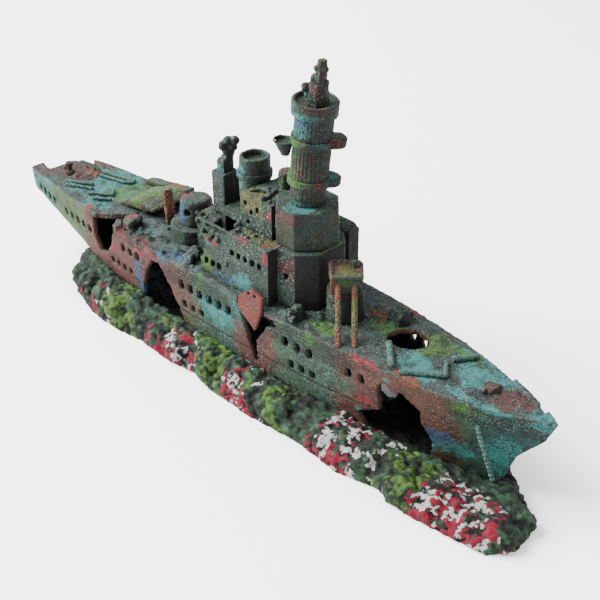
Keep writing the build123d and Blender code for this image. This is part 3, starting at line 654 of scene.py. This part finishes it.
# The hull's half-breadth at its seat, and how high the rock stands against it, by station
SEAT = ((78, 0), (80, 17), (96, 20), (122, 21.6), (185, 22), (232, 18), (270, 10), (307, 0.8))
ROCK_LINE = ((60, 16), (73, 17), (103, 12), (170, 11), (235, 10), (250, 7), (275, 5), (305, 4.5), (326, 9))
seat_half = np.interp(ship[:, 0], *zip(*SEAT))
rock_line = np.interp(ship[:, 0], *zip(*ROCK_LINE))
gap = np.abs(ship[:, 1]) - seat_half
allowed = rock_line + 0.75 * np.maximum(0, gap - 0.5)
points[:, 2] -= np.clip(ship[:, 2] - allowed, 0, 8) * ease(228, 262, ship[:, 0]) * MM
ship = in_ship(points)
side = ease(14, 20, np.abs(ship[:, 1]))
under = ease(0.2, 1.2, ship[:, 2])
sway = ship[:, 0] + 6 * noise(ship, 9.0, SEED + 2) + 3.5 * noise(ship, 3.6, SEED + 8) + 0.5 * ship[:, 2]


def stretch(*spans):
    """1 within any of these stretches of the rock's flanks, with wandering edges."""
    return side * np.max([between(low, high, sway, 1.6) for low, high in spans], axis=0)


crimson = stretch((75, 81), (83, 91), (126, 163), (181, 203), (238, 263), (294, 333))
chalk = stretch((91, 98), (138, 165), (186, 206), (242, 254), (258, 277), (294, 334))
mossy = stretch((97, 113), (166, 181), (212, 223), (278, 293))
moss_light = np.maximum(1.1 * mossy, 0.5 * ease(0.3, 0.7, noise(ship, 16.0, SEED + 4)))
moss_light = moss_light * ease(-0.55, 0.1, rough(ship, 5.0, 3, SEED + 12))
crust = np.maximum(crimson, chalk)
coral_knobs = knobs(ship, 1.9, SEED)
small_knobs = knobs(ship, 2.6, SEED + 9)
rocks = knobs(ship, 7.5, SEED + 4)
crags = 1 - np.abs(noise(ship, 4.2, SEED + 14))
push = 1.9 * (rocks - 0.6) + 0.9 * rough(ship, 4.0, 3, SEED) + 0.9 * (small_knobs - 0.6) - 0.8 * crags**6
push = push + crust * 1.2 * (coral_knobs - 0.5) + mossy * 0.8 * (small_knobs - 0.4)
push = push * under
pick = noise(ship * (1, 1, 0.5), 3.0, SEED + 6) + 0.8 * noise(ship, 1.4, SEED + 7)
reach = ease(13.5, 9.5, ship[:, 2] + 2.5 * noise(ship, 6.0, SEED + 15))
low_down = ease(9.0, 3.0, ship[:, 2])
beads = ease(0.3, 0.6, coral_knobs) * reach
bare = ease(-0.65, -0.15, noise(ship, 4.5, SEED + 17))
coral = crimson * ease(0.0, 0.25, pick + 0.4 * low_down) * beads * bare
white = chalk * ease(0.05, 0.3, 0.1 - pick - 0.25 * low_down) * beads * bare
# Painted shade: low rock within the hull's seat, in the cave under the hull, is marked to be painted near
# black.
hollow_shade_mask = ease(7.5, 6.0, ship[:, 2]) * ease(0.6, -0.4, gap) * ease(41, 44, ship[:, 0])
reef_masks = {
    "relief": 1.0 * (coral_knobs - 0.55) + 1.3 * (small_knobs - 0.6) + 0.9 * (rocks - 0.6) - 0.8 * crags**6
    + 0.9 * rough(ship, 2.0, 3, SEED),
    "moss": moss_light,
    "coral": coral,
    "white": white,
    "inside": hollow_shade_mask,
}
points = shaped(points, normals, push)
piece("reef_base_cast", ["reef_base"], points, faces, reef_masks, reef_paint)

# ---------------------------------------------------------------- deck fittings and wreckage
cast(
    "stern_well_floor", 0.55, 0.45, well_paint,
    extras=rubble(34, (8, 32), (-9, 12), (41.6, 42.6), (0.8, 2.0)),
    paint={"orange": ((26, 9, 43, 8, 5, 3),)},
)
cast("hull_break_plate", 0.4, 0.25, plate_paint, soften=3)
cast("capstan", 0.35, 0.2, well_paint)
cast(
    "capstan_fore", 0.45, 0.5, well_paint,
    extras=rubble(8, (294, 302), (-3, 5), (43.4, 44.6), (0.8, 1.5)),
)
cast("stern_rails", 0.4, 0.35, rail_paint)
cast(
    "foredeck_frame", 0.4, 0.3, rail_paint,
    extras=[rod((262, -17.5, 45.6), (250, -6, 46.2), 1.4)],
)
cast("breakwater", 0.4, 0.3, rail_paint)


def overgrown(ship, normals):
    """A push that thickens a small casting with paint and growth."""
    return 0.35


cast("anchor_chain", 0.35, 0.15, rail_paint, push=overgrown)
cast(
    "deck_mound", 0.6, 0.7, moss_paint, soften=40,
    extras=rubble(8, (72, 92), (-5, 12), (46.5, 49), (2.5, 4.5)),
    paint={
        "moss": ((80, 4, 52, 12, 14, 4),), "orange": ((88, -4, 49, 5, 5, 3),),
        "cyan": ((70, 2, 47, 4, 10, 2),),
    },
)
cast("fallen_beams", 0.45, 0.4, moss_paint, paint={"orange": ((84, 19, 49, 8, 4, 3),)})
cast("leaning_slab", 0.45, 0.35, moss_paint, paint={"orange": ((105, -3, 56, 5, 5, 11),)})
WRECKAGE = {
    "wreckage_aft": ("red", (93, -17, 47)), "wreckage_arch": ("blue", (140, -18, 47)),
    "wreckage_port": ("moss", (141, 18, 49)), "wreckage_bow_house": ("blue", (209, -20, 47)),
    "wreckage_fore": ("rust", (240, 12, 48)),
}
for node, (mask, (s, y, z)) in WRECKAGE.items():
    heap = rubble(14, (s - 4, s + 4), (y - 4, y + 4), (z - 1, z + 2), (1.2, 2.4))
    cast(node, 0.5, 0.9, house_paint, extras=heap, paint={mask: ((s, y, z, 4, 4, 3),)})

# ---------------------------------------------------------------- superstructure
cast(
    "aft_platform", 0.55, 0.6, house_paint,
    extras=rubble(12, (110, 132), (-11, -7), (45, 50), (1, 2)),
)
cast(
    "aft_turret", 0.5, 0.5, house_paint,
    paint={
        "blue": ((118, -8, 58, 5, 4, 6),), "red": ((115, -3, 64, 4, 5, 2.4),),
        "cyan": ((114, -7, 54, 3, 4, 3),),
    },
)
cast(
    "aft_deckhouse", 0.5, 0.6, house_paint,
    extras=rubble(14, (136, 149), (-12, -9), (62, 67), (0.9, 2.0))
    + rubble(8, (136, 140), (-12, 10), (46, 64), (0.8, 1.6)),
)
ledges = [
    plank((149.5, -21, 71.6), (194, -21, 71.6), 1.2, 1.0),
    plank((194, -21, 71.6), (194, 21, 71.6), 1.2, 1.0),
]
cast(
    "deckhouse", 0.5, 0.42, house_paint,
    extras=ledges
    + rubble(22, (149, 170), (-21, -17), (50, 69), (0.8, 2.2))
    + rubble(26, (150, 192), (-20, -12), (71.5, 72.5), (0.7, 1.7)),
    paint={
        "red": ((193, -20, 67, 2.5, 2, 4), (178, -21, 71, 4, 2, 1.5), (158, -20, 63, 4, 3, 2)),
        "orange": ((190, -16, 72, 5, 5, 1.5),), "olive": ((182, -14, 72, 9, 6, 1.6),),
        "moss": ((152, -21, 52, 5, 3, 6),), "cyan": ((154, -19, 62, 4, 3, 3), (176, -21, 50, 8, 2, 4)),
        "blue": ((166, -22, 48, 8, 3, 4),),
    },
)
cast(
    "tower_plinth", 0.55, 0.4, house_paint,
    extras=[
        plank((194, -15.6, 71.4), (204, -14.8, 71.4), 1.2, 1.0),
        plank((204, -14.8, 71.4), (211, -7.6, 71.4), 1.2, 1.0),
    ],
    paint={"moss": ((208, 0, 72, 5, 10, 1.5),), "rust": ((200, -14, 64, 8, 3, 6),)},
)
twisted = [
    rod((171 + 2.4 * i, -10 + 3 * i, 88.6), (178 + 1.6 * i, -4 - 2 * i, 90.4 - 0.3 * i), 0.6)
    for i in range(4)
]
cast(
    "bridge_house", 0.5, 0.5, house_paint,
    extras=twisted + rubble(14, (169, 186), (-12, -4), (87.5, 88.4), (0.7, 1.5)),
    paint={
        "olive": ((174, -13, 84, 9, 4, 5), (178, -9, 88, 8, 6, 1.5)), "red": ((187, -13, 83, 2.4, 2.4, 3),),
    },
)
cast("port_house", 0.5, 0.4, house_paint, paint={"cyan": ((205, 21, 66, 2, 2, 3),)})
cast(
    "square_funnel", 0.5, 0.4, house_paint,
    extras=rubble(6, (140, 147), (-5, -3), (67, 70), (0.8, 1.5)),
)
MAST_HEAD = (
    (144.5, 1, 93), (145, 0, 96), (144, -1.4, 98.5), (145.5, 0.5, 100.5), (148, 2.5, 101), (147, 2, 98),
)
cast(
    "broken_mast", 0.45, 0.6, house_paint, extras=[ball(place, 2.3) for place in MAST_HEAD],
    paint={"cyan": ((143, -2, 87, 3, 3, 3),)},
)
cast("round_funnel", 0.45, 0.45, tower_paint, paint={"cyan": ((158, -3, 89, 4.5, 5, 6.5),)})
cast("funnel_collar", 0.45, 0.4, tower_paint, paint={"cyan": ((157, -4, 90, 5, 5, 2),)})
cast(
    "roof_drum", 0.45, 0.35, house_paint,
    paint={"moss": ((180, 3, 90, 4, 4, 3),), "rust": ((177, 6, 95, 4, 4, 2),)},
)

# ---------------------------------------------------------------- fire-control tower
tower_foot = (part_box("tower_lower_drum")[0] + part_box("tower_lower_drum")[1]) / 2
tower_head = (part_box("tower_cap")[0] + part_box("tower_cap")[1]) / 2
tower_foot, tower_head = (in_ship(np.array([place]))[0] for place in (tower_foot, tower_head))
tower_way = (tower_head - tower_foot) / np.linalg.norm(tower_head - tower_foot)


def ribs(depth, count):
    """A push that cuts upright flutes round the leaning tower."""

    def push(ship, normals):
        along = (ship - tower_foot) @ tower_way
        spoke = ship - tower_foot - np.outer(along, tower_way)
        turn = np.arctan2(spoke[:, 1], spoke[:, 0]) * count / math.tau
        upright = ease(0.6, 0.3, np.abs(normals @ tower_way))
        return -depth * upright * ease(0.35, 0.85, np.abs(np.sin(math.pi * turn)) ** 3)

    return push


cast(
    "tower_base", 0.55, 0.45, tower_paint,
    paint={"rust": ((196, -12, 86, 10, 4, 3),), "cyan": ((198, -8, 90, 8, 6, 1.5),)},
)
cast(
    "tower_lower_drum", 0.45, 0.3, tower_paint, push=ribs(0.2, 26),
    paint={"cyan": ((196, -5, 90, 9, 7, 2),)},
)
cast(
    "tower_lower_gallery", 0.45, 0.35, tower_paint,
    paint={
        "moss": ((196, -8, 101, 9, 5, 2.5),), "red": ((206, -2, 101, 3, 3, 3),),
        "cyan": ((203, 4, 101, 4, 4, 2),),
    },
)
cast(
    "tower_middle_drum", 0.45, 0.3, tower_paint, push=ribs(0.28, 30),
    paint={
        "moss": ((198, -8, 106, 8, 4, 6),), "red": ((203, -5, 112, 2.5, 2.5, 4),),
        "rust": ((200, -7, 108, 3, 3, 6),),
    },
)
cast(
    "tower_upper_gallery", 0.45, 0.4, tower_paint,
    paint={
        "moss": ((198, -8, 119, 6, 4, 2),), "cyan": ((205, -3, 119, 5, 4, 2),),
        "red": ((209, 3, 119, 3, 3, 2),),
    },
)
cast(
    "tower_upper_drum", 0.45, 0.3, tower_paint, push=ribs(0.22, 32),
    paint={"cyan": ((201, -8, 126, 9, 7, 7),), "blue": ((197, -7, 129, 6, 6, 4),)},
)
cast(
    "tower_cap", 0.45, 0.45, tower_paint,
    paint={
        "rust": ((206, -6, 134, 7, 6, 2),), "blue": ((195, -8, 133, 3.5, 4, 3),),
        "cyan": ((197, 4, 137, 5, 6, 2), (203, -8, 131, 9, 6, 1.5)),
    },
)
cast("tower_side_tub", 0.4, 0.35, tower_paint, paint={"red": ((188, -9, 113, 2.5, 3, 2),)})
DIRECTOR = ((198.5, -2, 138), (198, -3, 141), (203, -1, 140), (204, 2, 143), (199, 1, 144))
cast(
    "broken_director", 0.4, 0.6, tower_paint,
    extras=[ball(place, 2.0) for place in DIRECTOR],
    paint={"rust": ((203, -2, 142, 3, 4, 4),), "cyan": ((197, -3, 139, 3, 3, 3),)},
)
SPIRE = ((201.5, 0, 144), (203.5, 0.5, 147), (205, 1, 149), (203, 0, 150.5), (201.5, -0.5, 149))
cast(
    "spire", 0.35, 0.5, tower_paint, extras=[ball(place, 1.4) for place in SPIRE],
    paint={
        "rust": ((205, 1, 147, 2, 3, 3),), "cyan": ((200, -1, 146, 2, 3, 3),),
        "red": ((202, 0, 151, 2, 2, 1.4),),
    },
)

# ---------------------------------------------------------------- fore turret
cast(
    "fore_barbette", 0.5, 0.6, house_paint,
    extras=rubble(16, (215, 229), (-9, 4), (45, 50), (0.9, 2.0)),
)
turret_low, turret_high = (in_ship(np.array([corner]))[0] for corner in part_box("fore_turret"))
turret_mid = (turret_low + turret_high) / 2
AIM = math.radians(-45)
TURRET_LONG, TURRET_WIDE = 6.6, 6.3


def by_turret(ahead, left, up):
    """A place ahead of, to the left of and above the middle of the turret's roof."""
    s = turret_mid[0] + ahead * math.cos(AIM) - left * math.sin(AIM)
    y = turret_mid[1] + ahead * math.sin(AIM) + left * math.cos(AIM)
    return s, y, turret_high[2] + up


corners = [
    by_turret(a * TURRET_LONG, b * TURRET_WIDE, -0.3) for a, b in ((1, 1), (-1, 1), (-1, -1), (1, -1))
]
rim = [rod(a, b, 0.9) for a, b in zip(corners, corners[1:] + corners[:1])]
rim += [ball(by_turret(a, -TURRET_WIDE, 0), 1.2) for a in (-6, -4, -2.5, 0.5, 3)]
rim += [ball(by_turret(-TURRET_LONG, b, 0), 1.3) for b in (-5, -2.5, 0, 2.5, 5)]
cast(
    "fore_turret", 0.42, 0.25, turret_paint, extras=rim,
    paint={
        "rust": tuple(
            (*by_turret(a, b, 0), 3, 3, 1.5) for a, b in ((-6, 0), (-6, -5), (-6, 5), (0, -6), (0, 6))
        ),
        "orange": ((*by_turret(6.6, -6, -4), 1.4, 1.4, 4),),
        "moss": ((*by_turret(6.8, 0, -2.5), 5, 5, 1.4),),
        "olive": ((*by_turret(0.5, 0, 0), 5, 5, 1.2),), "cyan": ((*by_turret(2, -6.5, -4), 4, 3, 3),),
    },
)
cast(
    "gun_barrels", 0.35, 0.15, barrel_paint,
    paint={
        "orange": ((226, -13, 52, 3, 3, 12),), "moss": ((233, -8, 55, 5, 4, 5),),
        "olive": ((236, -9, 50, 5, 5, 8),),
    },
)
cast("turret_sight", 0.35, 0.4, turret_paint, extras=[ball(by_turret(-3, 3.6, 1.5), 1.6)])


# ---------------------------------------------------------------- air line
def plain(name, tint, roughness, marks=0.06, clear=0.0):
    """A moulded plastic, rubber or mineral surface with a slight grain and dulling."""
    paint = Paint(name)
    shade = paint.span(paint.noise(3.0, 5.0), 0.3, 0.7, 1 - 2 * marks, 1 + marks)
    colour = paint.shaded(linear(*tint), shade)
    grain = paint.noise(0.5, 3.0)
    bump = paint.node("ShaderNodeBump", {"Strength": 0.15 + marks, "Distance": 0.2 * MM, "Height": grain})
    paint.tree.links.new(colour, paint.shader.inputs["Base Color"])
    dulled = paint.span(grain, 0.3, 0.7, roughness, roughness + 0.12)
    paint.tree.links.new(dulled, paint.shader.inputs["Roughness"])
    paint.tree.links.new(bump.outputs[0], paint.shader.inputs["Normal"])
    paint.shader.inputs["Transmission Weight"].default_value = clear
    return paint.material


tube_plastic = plain("clear tube plastic", (214, 224, 224), 0.32, clear=0.25)
saddle_plastic = plain("saddle plastic", (206, 212, 210), 0.35)
rubber = plain("grommet rubber", (30, 30, 31), 0.6)
grit = plain("stone grit", (118, 136, 160), 0.85, marks=0.22)
for node, material in (
    ("feed_tube", tube_plastic), ("inlet_spigot", tube_plastic), ("stone_nipple", tube_plastic),
    ("tube_saddle", saddle_plastic), ("inlet_grommet", rubber),
):
    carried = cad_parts[node]
    carried.data.materials.clear()
    carried.data.materials.append(material)


def pores(ship, normals):
    """Open pores between sintered grains."""
    return 0.35 * (knobs(ship, 1.0, SEED) - 0.6)


cast("air_stone", 0.3, 0.12, grit, push=pores, body="air_stone")

# ---------------------------------------------------------------- floor, light and camera
bpy.ops.mesh.primitive_plane_add(size=6, location=(0, 0, 0))
floor = bpy.context.object
floor.name = "floor"
floor_paint = Paint("floor")
floor_paint.shader.inputs["Base Color"].default_value = (0.93, 0.93, 0.93, 1)
floor_paint.shader.inputs["Roughness"].default_value = 0.9
floor.data.materials.append(floor_paint.material)

world = bpy.data.worlds.new("studio")
bpy.context.scene.world = world
world.use_nodes = True
world.node_tree.nodes["Background"].inputs["Color"].default_value = (1, 1, 1, 1)
world.node_tree.nodes["Background"].inputs["Strength"].default_value = 2.1


def lamp(name, place, size, power):
    """A soft square light aimed at the middle of the ornament."""
    light = bpy.data.lights.new(name, "AREA")
    light.size = size
    light.energy = power
    obj = bpy.data.objects.new(name, light)
    obj.location = place
    obj.rotation_euler = (Vector((0, 0, 0.04)) - Vector(place)).to_track_quat("-Z", "Y").to_euler()
    bpy.context.scene.collection.objects.link(obj)


lamp("key", (-1.1, -0.75, 1.3), 1.5, 190)

AZIMUTH = math.radians(46)
ELEVATION = math.radians(31)
back = Vector((
    math.sin(AZIMUTH) * math.cos(ELEVATION), -math.cos(AZIMUTH) * math.cos(ELEVATION), math.sin(ELEVATION),
))
camera = bpy.data.objects.new("camera", bpy.data.cameras.new("camera"))
camera.data.lens = 72
camera.data.sensor_width = 36
camera.data.clip_start = 0.01
camera.location = (0.353, -0.317, 0.313)
camera.rotation_euler = (-back).to_track_quat("-Z", "Y").to_euler()
bpy.context.scene.collection.objects.link(camera)
bpy.context.scene.camera = camera
